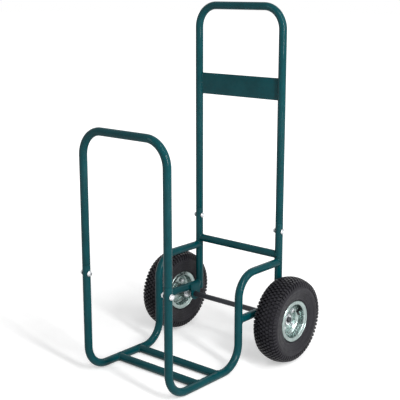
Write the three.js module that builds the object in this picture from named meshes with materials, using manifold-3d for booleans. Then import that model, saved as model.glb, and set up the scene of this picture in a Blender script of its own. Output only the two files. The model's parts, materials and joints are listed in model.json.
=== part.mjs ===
// Two-wheeled firewood cart: a bent-tube chassis with a plug-in front loop and handle, and two
// pneumatic wheels on ball bearings. Millimetres. +Z is up, +X is the cart's right, and +Y runs from
// the front loop back to the handle. The origin is on the floor under the middle of the whole cart.

import * as THREE from 'three';
import { mergeVertices } from 'three/addons/utils/BufferGeometryUtils.js';
import Module from 'manifold-3d';

const wasm = await Module();
wasm.setup();

// ---------------------------------------------------------------- driving dimensions

// Clearances.
const seatGap = 0.3; // between pieces that rest on, or are welded to, each other

// Tubes of the frame.
const tubeRadius = 11.5;
const tubeWall = 1.5;
const tubeSides = 12;
const boreSides = 8;
const bendSteps = 4;
const railSpacing = 310; // between the centrelines of the left and right tubes

// Side frames, seen from the side. Y is measured from the front posts.
const floorBendRadius = 67;
const riserY = 295;
const strutClearance = 3.5; // between the axle and the struts above it
const upperBarHeight = 280;
const rearPostY = 485;
const rearPostReach = 16; // of the rear posts below the middle of the struts

// Cross tubes that tie the two sides together.
const frontCrossY = 120;
const rearCrossY = 205;
const rearCrossRise = 22; // above the middle of the upper bars

// Front loop and handle loop. Heights are to the top of the tube.
const frontJointHeight = 323;
const frontLoopHeight = 715.5;
const frontCornerRadius = 71;
const rearJointHeight = 400;
const handleHeight = 1036;
const handleCornerRadius = 65;
const spigotLength = 55;
const spigotRadius = 9.4;
const spigotShoulder = 1; // length over which the tube narrows to the spigot

// Flat plate across the handle.
const plateBottom = 760;
const plateHeight = 64;
const plateThickness = 3;

// Bolted joints between the loops and the posts.
const jointBoltDrop = 25; // below the seam
const boltRadius = 4;
const boltHeadRadius = 7.5;
const boltHeadHeight = 5.3;
const nutHeight = 6.5;
const flangeFaceRadius = 8;
const flangeFace = 1.6;
const boltProjection = 3; // of the shank past the nut

// Plastic caps in the lower ends of the rear posts.
const plugFlange = 3;
const plugDepth = 12;

// Axle and its brackets.
const axleRadius = 8;
const axleY = 443;
const axleProjection = 5; // past the outer washers
const bracketThickness = 5;
const bracketRadius = 20;
const bracketWidthAtTop = 60;
const bracketLap = 10; // of the bracket above the middle of the strut
const sleeveRadius = 10;
const axleWasherRadius = 15;
const axleWasherThickness = 2.5;
const pinWireRadius = 0.65;
const pinBendRadius = 0.6;
const pinLegGap = 0.1;
const pinHoleRadius = 1.7;
const pinHoleDistance = 0.7; // from the washer to the edge of the hole
const pinEyeRadius = 2.6;
const pinLegLength = 4;
const pinStandOff = 1; // of the eye and of the spread legs from the axle

// Wheels.
const wheelRadius = 127;
const tyreWidth = 75;
const wheelSpacing = 438; // between the middles of the two tyres
const lugCount = 18;
const stationsPerLug = 3;
const lugHeight = 4.5;
const treadCrown = 0.0075; // fall of the tread, in mm for each square mm from the middle
const treadRows = [7, 19, 31]; // distance of the block edges from the middle
const treadThickness = 11; // of the casing under the tread, blocks included
const sidewallThickness = 6.5;
const sidewallDepth = 27; // from the tread down to the widest part of the tyre
const chamberDepth = 39; // from the tread down to the widest part of the air chamber
const chamberCrown = 14; // half width of the air chamber under the tread
const beadRadius = 50.8;
const beadWidth = 7.5;
const beadGap = 0.4; // between the bead and the rim
const footRise = 3; // of the sidewall's foot above the rim's flange
const footOverhang = 1.5; // of the sidewall's foot past the rim's flange
const innerTubeWall = 2;
const innerTubeGap = 0.8; // between the inner tube and the tyre
const innerTubeFoot = 17; // half width of the inner tube where it lies on the rim
const innerTubeRise = 1.9; // of the inner tube above the rim
const flangeRadius = 62;
const rimWidth = 57.6;
const rimThickness = 2;
const rimSides = 16;
const discRadius = 40;
const discStep = 5; // rise of the first step of the dish, outside the disc
const dishDepth = 14.5; // from the middle of the wheel to the bead seat
const rimBoltCircle = 31;
const rimBoltCount = 4;

// Hub and bearings.
const hubRadius = 19.5;
const hubBore = 17.8;
const hubOuterEnd = 4; // from the middle of the tyre
const hubInnerEnd = 50;
const bearingWidth = 11;
const outerRingBore = 15.9;
const innerRingRadius = 9.9;
const ballRadius = 2.5;
const ballCount = 5;
const cageWidth = 1.4;
const bearingSides = 12;

// Valve.
const valveRadius = 3;
const valveBore = 1;
const valveLength = 24;
const valveRootDepth = 1.6; // of the stem's root below the bead seat
const valveRootHeight = 2.5; // of the stem's root from the middle of the wheel
const valveSlope = 41; // degrees between the stem and the axle
const valveTurn = -72; // degrees round the rim from the top
const valveCapRadius = 3.9;
const valveCapLength = 9;

// ---------------------------------------------------------------- sizes that follow

const boreRadius = tubeRadius - tubeWall;
const sideX = railSpacing / 2;
const floorTubeHeight = tubeRadius;
const frontLoopTop = frontLoopHeight - tubeRadius;
const handleTop = handleHeight - tubeRadius;
const bracketX = sideX - tubeRadius - seatGap - bracketThickness / 2;
const bracketOuterFace = bracketX + bracketThickness / 2;
const hubInnerX = wheelSpacing / 2 - hubInnerEnd;
const hubOuterX = wheelSpacing / 2 + hubOuterEnd;
const axleHalfLength = hubOuterX + axleWasherThickness + 2 * seatGap + axleProjection;
const pinX = hubOuterX + axleWasherThickness + pinHoleDistance + pinHoleRadius;
const strutHeight = wheelRadius + axleRadius + strutClearance + tubeRadius;
const rearPostFoot = strutHeight - rearPostReach;
const rearCrossHeight = upperBarHeight + rearCrossRise;
const bracketTop = strutHeight + bracketLap;
const cartMiddleY = (axleY + wheelRadius - tubeRadius) / 2;

// ---------------------------------------------------------------- finishes

const greenPaint = { color: 0x11474b, roughness: 0.3, metalness: 0.1 };
const zinc = { color: 0xb9bdc0, roughness: 0.35, metalness: 0.9 };
const rimZinc = { color: 0xaab5b3, roughness: 0.3, metalness: 0.85 };
const bearingSteel = { color: 0xc9cbcd, roughness: 0.2, metalness: 0.95 };
const darkSteel = { color: 0x1b1e22, roughness: 0.45, metalness: 0.6 };
const tyreRubber = { color: 0x1d1d1f, roughness: 0.8, metalness: 0 };
const tubeRubber = { color: 0x101012, roughness: 0.9, metalness: 0 };
const blackPlastic = { color: 0x141416, roughness: 0.6, metalness: 0 };

// ---------------------------------------------------------------- helpers

// A mesh without doubled vertices or empty triangles.
function closed(geometry) {
  const bare = geometry.clone();
  bare.deleteAttribute('normal');
  bare.deleteAttribute('uv');
  const merged = mergeVertices(bare, 1e-4);
  const kept = [];
  const index = merged.index.array;
  for (let i = 0; i < index.length; i += 3) {
    const [a, b, c] = index.slice(i, i + 3);
    if (a !== b && b !== c && c !== a) kept.push(a, b, c);
  }
  merged.setIndex(kept);
  return merged;
}

function toSolid(geometry) {
  const mesh = closed(geometry);
  const vertProperties = Float32Array.from(mesh.attributes.position.array);
  const triVerts = Uint32Array.from(mesh.index.array);
  return new wasm.Manifold(new wasm.Mesh({ numProp: 3, vertProperties, triVerts }));
}

function fromSolid(solid) {
  const { vertProperties, triVerts } = solid.getMesh();
  const geometry = new THREE.BufferGeometry();
  geometry.setAttribute('position', new THREE.BufferAttribute(vertProperties, 3));
  geometry.setIndex(new THREE.BufferAttribute(triVerts, 1));
  return geometry;
}

function cut(geometry, ...cutters) {
  const rest = cutters.reduce((solid, cutter) => solid.subtract(toSolid(cutter)), toSolid(geometry));
  return fromSolid(rest);
}

function join(...geometries) {
  return fromSolid(geometries.map(toSolid).reduce((whole, solid) => whole.add(solid)));
}

function mirrored(geometry) {
  const copy = closed(geometry);
  copy.scale(-1, 1, 1);
  const index = copy.index.array;
  for (let i = 0; i < index.length; i += 3) {
    [index[i], index[i + 1]] = [index[i + 1], index[i]];
  }
  return copy;
}

function piece(name, geometry, finish) {
  const mesh = new THREE.Mesh(geometry, new THREE.MeshStandardMaterial(finish));
  mesh.name = name;
  return mesh;
}

// A regular polygon whose flats, not its corners, lie at the given radius.
function polygon(flatRadius, sides, Kind = THREE.Shape) {
  const outline = new Kind();
  const corner = flatRadius / Math.cos(Math.PI / sides);
  for (let i = 0; i < sides; i += 1) {
    const angle = ((i + 0.5) / sides) * 2 * Math.PI;
    const point = [corner * Math.cos(angle), corner * Math.sin(angle)];
    if (i === 0) outline.moveTo(...point);
    else outline.lineTo(...point);
  }
  outline.closePath();
  return outline;
}

// The centreline of a bent tube: straight runs between corners, each corner rounded to one radius.
class BentPath extends THREE.Curve {
  constructor(corners, radius = 1, steps = 1) {
    super();
    this.stations = [corners[0]];
    this.directions = [corners[1].clone().sub(corners[0]).normalize()];
    for (let i = 1; i < corners.length - 1; i += 1) {
      const before = corners[i].clone().sub(corners[i - 1]).normalize();
      const after = corners[i + 1].clone().sub(corners[i]).normalize();
      const turn = before.angleTo(after);
      const axis = before.clone().cross(after).normalize();
      const entry = corners[i].clone().addScaledVector(before, -radius * Math.tan(turn / 2));
      const centre = entry.clone().addScaledVector(axis.clone().cross(before), radius);
      for (let k = 0; k <= steps; k += 1) {
        const angle = (turn * k) / steps;
        this.stations.push(entry.clone().sub(centre).applyAxisAngle(axis, angle).add(centre));
        this.directions.push(before.clone().applyAxisAngle(axis, angle));
      }
    }
    this.stations.push(corners.at(-1));
    this.directions.push(this.directions.at(-1));
  }

  // Adds stations to the first straight run, at 0, or to the last, at -1.
  addNear(end, ...stations) {
    const place = end === 0 ? 1 : this.stations.length - 1;
    const direction = this.directions.at(end);
    this.stations.splice(place, 0, ...stations);
    this.directions.splice(place, 0, ...stations.map(() => direction));
  }

  getSpacedPoints() {
    return this.stations;
  }

  getTangentAt(u) {
    return this.directions[Math.round(u * (this.directions.length - 1))].clone();
  }
}

function sweep(outline, path) {
  const steps = path.stations.length - 1;
  return new THREE.ExtrudeGeometry(outline, { steps, extrudePath: path });
}

function tube(path) {
  const outline = polygon(tubeRadius, tubeSides);
  outline.holes.push(polygon(boreRadius, boreSides, THREE.Path));
  return sweep(outline, path);
}

function bar(from, to, radius, sides = tubeSides) {
  return sweep(polygon(radius, sides), new BentPath([from, to]));
}

// A revolve about the Y axis of a profile of [radius, height] points.
function revolve(profile, sides) {
  const ring = profile.map(([radius, height]) => new THREE.Vector2(radius, height));
  if (THREE.ShapeUtils.area(ring) < 0) ring.reverse();
  const closesOnAxis = ring[0].x === 0 && ring.at(-1).x === 0;
  if (!closesOnAxis) ring.push(ring[0].clone());
  return new THREE.LatheGeometry(ring, sides);
}

// The outline of a pressed sheet whose middle follows a line of [radius, height] points.
function sheetProfile(line, thickness) {
  const points = line.map(([radius, height]) => new THREE.Vector2(radius, height));
  const normals = points.slice(1).map((point, i) => {
    const along = point.clone().sub(points[i]).normalize();
    return new THREE.Vector2(-along.y, along.x);
  });
  const face = (offset) => points.map((point, i) => {
    const before = normals[Math.max(i - 1, 0)];
    const after = normals[Math.min(i, normals.length - 1)];
    const mitre = before.clone().add(after).multiplyScalar(offset / (1 + before.dot(after)));
    return mitre.add(point).toArray();
  });
  return [...face(thickness / 2), ...face(-thickness / 2).reverse()];
}

function ring(outer, bore, from, to, sides) {
  return revolve([[bore, from], [outer, from], [outer, to], [bore, to]], sides);
}

const at = (x, y, z) => new THREE.Vector3(x, y, z);

const hexFlat = boltHeadRadius * Math.cos(Math.PI / 6);

// A bolt along X: the underside of its head is at x = 0, its head in +X and its shank in -X.
// A flanged head stands on a washer face of its own.
function bolt(length, flanged) {
  const head = bar(at(0, 0, 0), at(boltHeadHeight, 0, 0), hexFlat, 6);
  const shank = bar(at(-length, 0, 0), at(boltHeadHeight / 2, 0, 0), boltRadius, 8);
  if (!flanged) return join(head, shank);
  return join(head, shank, bar(at(0, 0, 0), at(flangeFace, 0, 0), flangeFaceRadius));
}

// A nut along X with its seat at x = 0 and its body in -X.
function nut(flanged) {
  const body = bar(at(-nutHeight, 0, 0), at(0, 0, 0), hexFlat, 6);
  const hole = bar(at(-2 * nutHeight, 0, 0), at(nutHeight, 0, 0), boltRadius + seatGap, 8);
  if (!flanged) return cut(body, hole);
  return cut(join(body, bar(at(-flangeFace, 0, 0), at(0, 0, 0), flangeFaceRadius)), hole);
}

// ---------------------------------------------------------------- chassis

// A cylinder that leaves room for the weld gap round a tube.
function coper(from, to) {
  return bar(from, to, tubeRadius + seatGap);
}

function boltHole(x, height, y) {
  const reach = tubeRadius * 2;
  return bar(at(x - reach, y, height), at(x + reach, y, height), boltRadius + seatGap, 8);
}

const rightPostLine = [at(sideX, rearPostY, rearPostFoot), at(sideX, rearPostY, rearJointHeight)];

function sideTube() {
  const corners = [
    at(sideX, 0, frontJointHeight),
    at(sideX, 0, floorTubeHeight),
    at(sideX, riserY, floorTubeHeight),
    at(sideX, riserY, upperBarHeight),
    at(sideX, rearPostY, upperBarHeight),
  ];
  const whole = tube(new BentPath(corners, floorBendRadius, bendSteps));
  return cut(whole, coper(...rightPostLine), boltHole(sideX, frontJointHeight - jointBoltDrop, 0));
}

function strut() {
  const whole = tube(new BentPath([at(sideX, riserY, strutHeight), at(sideX, rearPostY, strutHeight)]));
  const riser = coper(at(sideX, riserY, 0), at(sideX, riserY, upperBarHeight));
  return cut(whole, coper(...rightPostLine), riser);
}

function rearPost() {
  return cut(
    tube(new BentPath(rightPostLine)),
    boltHole(sideX, rearJointHeight - jointBoltDrop, rearPostY),
  );
}

function crossTube(y, height, sideLine) {
  const whole = tube(new BentPath([at(-sideX, y, height), at(sideX, y, height)]));
  const right = coper(...sideLine);
  return cut(whole, right, mirrored(right));
}

function floorCrossTube(y) {
  const railLine = [at(sideX, 0, floorTubeHeight), at(sideX, riserY, floorTubeHeight)];
  return crossTube(y, floorTubeHeight, railLine);
}

// Welded inside the strut, with the axle through its rounded lower end.
function axleBracket() {
  const outline = new THREE.Shape();
  const half = bracketWidthAtTop / 2;
  const tangent = Math.PI / 9;
  const drop = bracketTop - wheelRadius;
  outline.moveTo(-half, drop);
  outline.absarc(0, 0, bracketRadius, Math.PI - tangent, 2 * Math.PI + tangent, false);
  outline.lineTo(half, drop);
  outline.closePath();
  outline.holes.push(polygon(axleRadius + seatGap, tubeSides, THREE.Path));
  const plate = new THREE.ExtrudeGeometry(outline, {
    depth: bracketThickness,
    bevelEnabled: false,
    curveSegments: 8,
  });
  plate.rotateX(Math.PI / 2);
  plate.rotateZ(Math.PI / 2);
  plate.translate(bracketX - bracketThickness / 2, axleY, wheelRadius);
  return plate;
}

function postPlug() {
  const insertRadius = boreRadius - seatGap;
  const flange = tubeRadius / Math.cos(Math.PI / tubeSides);
  const profile = [
    [0, -plugFlange],
    [flange, -plugFlange],
    [flange, -seatGap],
    [insertRadius, -seatGap],
    [insertRadius, plugDepth],
    [0, plugDepth],
  ];
  const plug = revolve(profile, tubeSides);
  plug.rotateY(Math.PI / tubeSides).rotateX(Math.PI / 2);
  plug.translate(sideX, rearPostY, rearPostFoot);
  return plug;
}

// ---------------------------------------------------------------- plug-in loops

// An inverted U whose ends are drawn down to spigots that fit inside the posts.
function loop(y, top, cornerRadius, jointHeight) {
  const foot = jointHeight - spigotLength;
  const neck = jointHeight + seatGap;
  const shoulder = neck + spigotShoulder;
  const corners = [at(-sideX, y, foot), at(-sideX, y, top), at(sideX, y, top), at(sideX, y, foot)];
  const path = new BentPath(corners, cornerRadius, bendSteps);
  path.addNear(0, at(-sideX, y, neck), at(-sideX, y, shoulder));
  path.addNear(-1, at(sideX, y, shoulder), at(sideX, y, neck));
  const geometry = closed(tube(path));
  const position = geometry.attributes.position;
  const squeeze = spigotRadius / tubeRadius;
  for (let i = 0; i < position.count; i += 1) {
    if (position.getZ(i) < (neck + shoulder) / 2) {
      const axisX = Math.sign(position.getX(i)) * sideX;
      position.setX(i, axisX + (position.getX(i) - axisX) * squeeze);
      position.setY(i, y + (position.getY(i) - y) * squeeze);
    }
  }
  const height = jointHeight - jointBoltDrop;
  return cut(geometry, boltHole(sideX, height, y), boltHole(-sideX, height, y));
}

function handlePlate() {
  const length = railSpacing - 2 * (tubeRadius + seatGap);
  const plate = new THREE.BoxGeometry(length, plateThickness, plateHeight);
  return plate.translate(0, rearPostY, plateBottom + plateHeight / 2);
}

// ---------------------------------------------------------------- joint fasteners

const jointPlaces = [
  { name: 'front', y: 0, height: frontJointHeight - jointBoltDrop },
  { name: 'rear', y: rearPostY, height: rearJointHeight - jointBoltDrop },
];
const clampFace = tubeRadius + seatGap;

function jointBolt() {
  return bolt(2 * clampFace + nutHeight + boltProjection, true).translate(clampFace, 0, 0);
}

function jointNut() {
  return nut(true).translate(-clampFace, 0, 0);
}

// ---------------------------------------------------------------- axle

function axle() {
  const end = at(axleHalfLength, axleY, wheelRadius);
  const rod = bar(end.clone().setX(-axleHalfLength), end, axleRadius);
  const reach = 2 * axleRadius;
  const holes = [-1, 1].map((side) => bar(
    at(side * pinX, axleY, wheelRadius - reach),
    at(side * pinX, axleY, wheelRadius + reach),
    pinHoleRadius,
    8,
  ));
  return cut(rod, ...holes);
}

function onAxle(geometry, x) {
  return geometry.rotateZ(-Math.PI / 2).translate(x, axleY, wheelRadius);
}

function axleSleeve() {
  const length = hubInnerX - bracketOuterFace - 2 * seatGap;
  const sleeve = ring(sleeveRadius, axleRadius + 2 * seatGap, 0, length, tubeSides);
  return onAxle(sleeve, bracketOuterFace + seatGap);
}

function axleWasher() {
  const bore = axleRadius + 2 * seatGap;
  return onAxle(ring(axleWasherRadius, bore, 0, axleWasherThickness, 16), hubOuterX + seatGap);
}

// One wire: legs side by side through the axle, an eye above it and spread tips below.
function splitPin() {
  const leg = pinWireRadius + pinLegGap / 2;
  const below = wheelRadius - axleRadius - pinStandOff;
  const above = wheelRadius + axleRadius + pinStandOff;
  const eye = above + pinEyeRadius;
  const wire = [
    [leg + pinLegLength, below - pinLegLength],
    [leg, below],
    [leg, above],
    [pinEyeRadius, eye],
    [0, eye + pinEyeRadius],
    [-pinEyeRadius, eye],
    [-leg, above],
    [-leg, below],
    [-leg - pinLegLength, below - pinLegLength],
  ].map(([y, z]) => at(pinX, axleY + y, z));
  return sweep(polygon(pinWireRadius, 6), new BentPath(wire, pinBendRadius));
}

// ---------------------------------------------------------------- wheel

// Each wheel is built round the Y axis, with the side that faces outwards at +Y.

function mirrorProfile(half) {
  return [...half, ...half.map(([radius, height]) => [radius, -height]).reverse()];
}

const crown = (height) => wheelRadius - treadCrown * (height ** 2 - treadRows[0] ** 2);

// Casing with two beads and three rows of tread blocks, the rows out of step with each other.
function tyre() {
  const beadOuter = rimWidth / 2 - rimThickness - seatGap;
  const beadFoot = beadRadius + beadGap;
  const outside = mirrorProfile([
    ...treadRows.map((height) => [crown(height), height]),
    [wheelRadius - sidewallDepth, tyreWidth / 2],
    [flangeRadius + footRise, rimWidth / 2 + footOverhang],
    [flangeRadius + beadGap, beadOuter],
    [beadFoot, beadOuter],
  ]);
  const chamber = mirrorProfile([
    [beadRadius - rimThickness, beadOuter - beadWidth],
    [beadFoot, beadOuter - beadWidth],
    [wheelRadius - chamberDepth, tyreWidth / 2 - sidewallThickness],
    [wheelRadius - treadThickness, chamberCrown],
  ]);
  const sides = lugCount * stationsPerLug;
  const geometry = revolve(outside, sides);
  const position = geometry.attributes.position;
  const rows = position.count / (sides + 1);
  for (let i = 0; i < position.count; i += 1) {
    const radius = Math.hypot(position.getX(i), position.getZ(i));
    const height = position.getY(i);
    const phase = Math.floor(i / rows) % stationsPerLug;
    const isTread = Math.abs(radius - crown(height)) < 0.01 && Math.abs(height) <= treadRows.at(-1);
    const groovePhase = Math.abs(height) <= treadRows[0] ? 2 : Number(height > 0);
    if (isTread && phase === groovePhase) {
      const shrink = (radius - lugHeight) / radius;
      position.setX(i, position.getX(i) * shrink);
      position.setZ(i, position.getZ(i) * shrink);
    }
  }
  return cut(geometry, revolve(chamber, rimSides));
}

// The valve's line, from its root at the inner tube out past the disc.
const valveRoot = new THREE.Vector2(beadRadius - valveRootDepth, valveRootHeight);
const valveAngle = THREE.MathUtils.degToRad(valveSlope);
const valveAlong = (distance) => new THREE.Vector2(
  valveRoot.x - distance * Math.sin(valveAngle),
  valveRoot.y + distance * Math.cos(valveAngle),
);

function valveBar(from, to, radius) {
  const [start, end] = [valveAlong(from), valveAlong(to)];
  const stem = bar(at(0, start.y, start.x), at(0, end.y, end.x), radius, 8);
  return stem.rotateY(THREE.MathUtils.degToRad(valveTurn));
}

// A hollow ring of rubber that is open only at the valve.
function innerTube() {
  const section = (wall) => mirrorProfile([
    [beadRadius + innerTubeRise + wall, innerTubeFoot - wall],
    [wheelRadius - chamberDepth, tyreWidth / 2 - sidewallThickness - innerTubeGap - wall],
    [wheelRadius - treadThickness - innerTubeGap - wall, chamberCrown - innerTubeGap - wall / 2],
  ]);
  const outside = revolve(section(0), rimSides);
  const chamber = revolve(section(innerTubeWall), rimSides);
  const toChamber = (valveRootDepth + innerTubeRise + 2 * innerTubeWall) / Math.sin(valveAngle);
  return cut(outside, chamber, valveBar(-toChamber, 0, valveBore));
}

function valveStem() {
  return valveBar(2 * seatGap, valveLength - valveCapLength - seatGap, valveRadius);
}

function valveCap() {
  return valveBar(valveLength - valveCapLength, valveLength, valveCapRadius);
}

// One pressed-steel half: bolted disc, sloped wall, bead seat and flange with a turned-out lip.
function rimHalf() {
  const middle = rimThickness / 2;
  const discHeight = seatGap / 2 + middle;
  const seat = beadRadius - middle;
  const flangeHeight = rimWidth / 2 - middle;
  const line = [
    [hubRadius + seatGap, discHeight],
    [discRadius, discHeight],
    [(discRadius + seat) / 2, discStep],
    [seat, dishDepth],
    [seat, flangeHeight],
    [flangeRadius, flangeHeight],
  ];
  return revolve(sheetProfile(line, rimThickness), rimSides);
}

function boltCircle(make) {
  return Array.from({ length: rimBoltCount }, (_, i) => (
    make().rotateY(((i + 0.5) / rimBoltCount) * 2 * Math.PI)));
}

const discFace = seatGap / 2 + rimThickness;

// The outer half carries the four bolts, pressed into its disc.
function outerRim() {
  const length = 2 * discFace + nutHeight + boltProjection;
  const bolts = boltCircle(() => (
    bolt(length, false).rotateZ(Math.PI / 2).translate(0, discFace, rimBoltCircle)));
  return join(cut(rimHalf(), valveBar(-rimThickness, valveLength, valveRadius + seatGap)), ...bolts);
}

// The inner half carries the four nuts.
function innerRim() {
  const nuts = boltCircle(() => (
    nut(false).rotateZ(Math.PI / 2).translate(0, -discFace, rimBoltCircle)));
  const holes = boltCircle(() => (
    bar(at(0, -2 * discFace, rimBoltCircle), at(0, discFace, rimBoltCircle), boltRadius + seatGap, 8)));
  return join(cut(rimHalf().rotateX(Math.PI), ...holes), ...nuts);
}

function hub() {
  return ring(hubRadius, hubBore, -hubInnerEnd, hubOuterEnd, rimSides);
}

const bearingStarts = { inner: -hubInnerEnd, outer: hubOuterEnd - bearingWidth };

function bearingRing(outer, bore, start) {
  return ring(outer, bore, start, start + bearingWidth, bearingSides);
}

// The balls of one bearing, held by their cage.
function ballCage(start) {
  const pitch = (innerRingRadius + outerRingBore * Math.cos(Math.PI / bearingSides)) / 2;
  const middle = start + bearingWidth / 2;
  const half = cageWidth / 2;
  const cage = ring(pitch + half, pitch - half, middle - half, middle + half, ballCount * 2);
  const balls = Array.from({ length: ballCount }, (_, i) => {
    const ball = new THREE.SphereGeometry(ballRadius, 6, 3).translate(0, middle, pitch);
    return ball.rotateY((i / ballCount) * 2 * Math.PI);
  });
  return join(cage, ...balls);
}

// ---------------------------------------------------------------- assembly

const cart = new THREE.Group();
cart.position.y = -cartMiddleY;

function addPair(name, geometry, finish) {
  cart.add(piece(`right_${name}`, geometry, finish));
  cart.add(piece(`left_${name}`, mirrored(geometry), finish));
}

addPair('side_tube', sideTube(), greenPaint);
addPair('strut', strut(), greenPaint);
addPair('rear_post', rearPost(), greenPaint);
addPair('axle_bracket', axleBracket(), greenPaint);
addPair('post_plug', postPlug(), blackPlastic);
addPair('axle_sleeve', axleSleeve(), zinc);
addPair('axle_washer', axleWasher(), zinc);
addPair('split_pin', splitPin(), zinc);

cart.add(
  piece('front_floor_cross_tube', floorCrossTube(frontCrossY), greenPaint),
  piece('rear_floor_cross_tube', floorCrossTube(rearCrossY), greenPaint),
  piece('rear_cross_tube', crossTube(rearPostY, rearCrossHeight, rightPostLine), greenPaint),
  piece('front_loop', loop(0, frontLoopTop, frontCornerRadius, frontJointHeight), greenPaint),
  piece('handle_loop', loop(rearPostY, handleTop, handleCornerRadius, rearJointHeight), greenPaint),
  piece('handle_plate', handlePlate(), greenPaint),
  piece('axle', axle(), darkSteel),
);

// The bolt heads are on the right of every tube and the nuts on its left.
for (const { name, y, height } of jointPlaces) {
  for (const [sideName, x] of [['left', -sideX], ['right', sideX]]) {
    cart.add(
      piece(`${sideName}_${name}_joint_bolt`, jointBolt().translate(x, y, height), zinc),
      piece(`${sideName}_${name}_joint_nut`, jointNut().translate(x, y, height), zinc),
    );
  }
}

function wheel(name, side) {
  const group = new THREE.Group();
  group.position.set((side * wheelSpacing) / 2, axleY, wheelRadius);
  group.rotation.z = (-side * Math.PI) / 2;
  group.add(
    piece(`${name}_tyre`, tyre(), tyreRubber),
    piece(`${name}_inner_tube`, innerTube(), tubeRubber),
    piece(`${name}_valve_stem`, valveStem(), tubeRubber),
    piece(`${name}_valve_cap`, valveCap(), blackPlastic),
    piece(`${name}_outer_rim`, outerRim(), rimZinc),
    piece(`${name}_inner_rim`, innerRim(), rimZinc),
    piece(`${name}_hub`, hub(), rimZinc),
  );
  for (const [place, start] of Object.entries(bearingStarts)) {
    const outerRing = bearingRing(hubBore * Math.cos(Math.PI / rimSides) - seatGap, outerRingBore, start);
    const innerRing = bearingRing(innerRingRadius, axleRadius + 2 * seatGap, start);
    group.add(
      piece(`${name}_${place}_bearing_outer_ring`, outerRing, bearingSteel),
      piece(`${name}_${place}_bearing_balls`, ballCage(start), bearingSteel),
      piece(`${name}_${place}_bearing_inner_ring`, innerRing, bearingSteel),
    );
  }
  return group;
}

cart.add(wheel('right', 1), wheel('left', -1));

export default cart;
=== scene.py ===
"""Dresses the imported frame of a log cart: bent and welded tubes, bolted loops and air-filled tyres."""

import json
import math

import bmesh
import bpy
from mathutils import Matrix, Vector


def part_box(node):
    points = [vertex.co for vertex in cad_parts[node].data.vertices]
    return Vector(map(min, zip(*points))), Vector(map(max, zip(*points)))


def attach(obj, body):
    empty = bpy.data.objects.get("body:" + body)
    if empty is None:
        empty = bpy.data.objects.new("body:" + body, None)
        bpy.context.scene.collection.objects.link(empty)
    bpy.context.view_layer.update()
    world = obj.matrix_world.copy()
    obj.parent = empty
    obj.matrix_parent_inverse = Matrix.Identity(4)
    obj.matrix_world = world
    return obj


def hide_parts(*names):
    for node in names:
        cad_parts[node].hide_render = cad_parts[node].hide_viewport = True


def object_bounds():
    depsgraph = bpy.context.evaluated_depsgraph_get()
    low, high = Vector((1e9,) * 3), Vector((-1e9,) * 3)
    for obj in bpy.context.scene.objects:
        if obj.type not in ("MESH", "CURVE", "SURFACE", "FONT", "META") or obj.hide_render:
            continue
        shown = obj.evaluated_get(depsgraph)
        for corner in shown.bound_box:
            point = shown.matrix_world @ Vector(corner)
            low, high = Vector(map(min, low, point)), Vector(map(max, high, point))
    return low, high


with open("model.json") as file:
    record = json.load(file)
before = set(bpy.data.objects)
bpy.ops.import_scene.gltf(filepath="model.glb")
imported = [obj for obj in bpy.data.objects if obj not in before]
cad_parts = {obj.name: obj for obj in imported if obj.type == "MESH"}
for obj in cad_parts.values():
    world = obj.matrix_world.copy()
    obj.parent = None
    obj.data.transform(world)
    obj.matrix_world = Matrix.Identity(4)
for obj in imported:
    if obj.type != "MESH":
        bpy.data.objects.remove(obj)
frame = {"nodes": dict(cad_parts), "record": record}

bl_info = {
    "name": "Log Cart",
    "version": (1, 0, 0),
    "blender": (4, 5, 0),
    "location": "View3D > Sidebar > Log Cart",
    "description": "Builds the finished pieces of a log cart round its frame",
    "category": "Add Mesh",
}

CAD_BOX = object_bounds()
SIDES = {"left": -1, "right": 1}
X_AXIS, Y_AXIS, Z_AXIS = Vector((1, 0, 0)), Vector((0, 1, 0)), Vector((0, 0, 1))

TUBE_SEGMENTS = 40
MOUTH_ROUNDING = 0.0006  # of the open ends of the posts
GROUND_GAP = 0.0001  # kept between the floor and the weld beads over it
WELD_POINTS = 132  # round the coped end of a tube
WELD_STEP = 0.0008  # between the points of a straight weld
WELD_SIDES = 9
WELD_RIPPLE = 0.00256  # length of the pool that each dab of weld leaves
SHARP_ANGLE = 34.0  # degrees over which an edge isn't smoothed
SOFT_ANGLE = 60.0  # the same, on wire and balls
SAME_PLACE = 1e-7  # distance under which two points are one
ON_AXIS = 1e-9
HEX_STEPS = 36  # points round a bolt head
HEAD_FACE = 0.93  # radius of the round face of a bolt head, as a share of its flats'
HEAD_CHAMFER = math.radians(28)
BOLT_SHANK = 0.004  # radius of joint bolts and rim bolts
AXLE_RING_BORE = 0.0086  # of sleeves and washers
BEAD_RADIUS = 0.0508  # of the seat on which a tyre's beads stand
DISC_GAP = 0.00015  # between a wheel's middle and the disc of each rim half
DISC_STEP = 0.0011  # height of the raised ring under the rim bolts
KNOB_ROWS = 3  # rows to each side of the middle one
KNOB_ROW_PITCH = 0.0094
KNOB_HALF_WIDTH = 0.0034
KNOB_SHARE = 0.27  # of the pitch round the tyre, to each side of a knob's middle
KNOB_SLOPE = 0.055  # share of the pitch over which a knob's end falls
TREAD_CROWN = 7.5  # fall of the tread from its middle, over the square of the distance
VALVE_SLOPE = math.radians(41)
VALVE_TURN = math.radians(72)
FLOOR_DUST, RIM_GRIME, TYRE_DUST = (0.22, 0.22, 0.19), (0.30, 0.33, 0.32), (0.075, 0.072, 0.068)

# Across, inward and the lug's rise as (across, radius), from the tread's edge down the shoulder.
SHOULDER = (
    (0.0002, 0.0010, None), (0.0004, 0.0015, (0.0019, 0.0040)), (0.0018, 0.0058, (0.0030, 0.0026)),
    (0.0032, 0.0105, (0.0022, 0.0013)), (0.0035, 0.0111, None),
)

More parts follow.
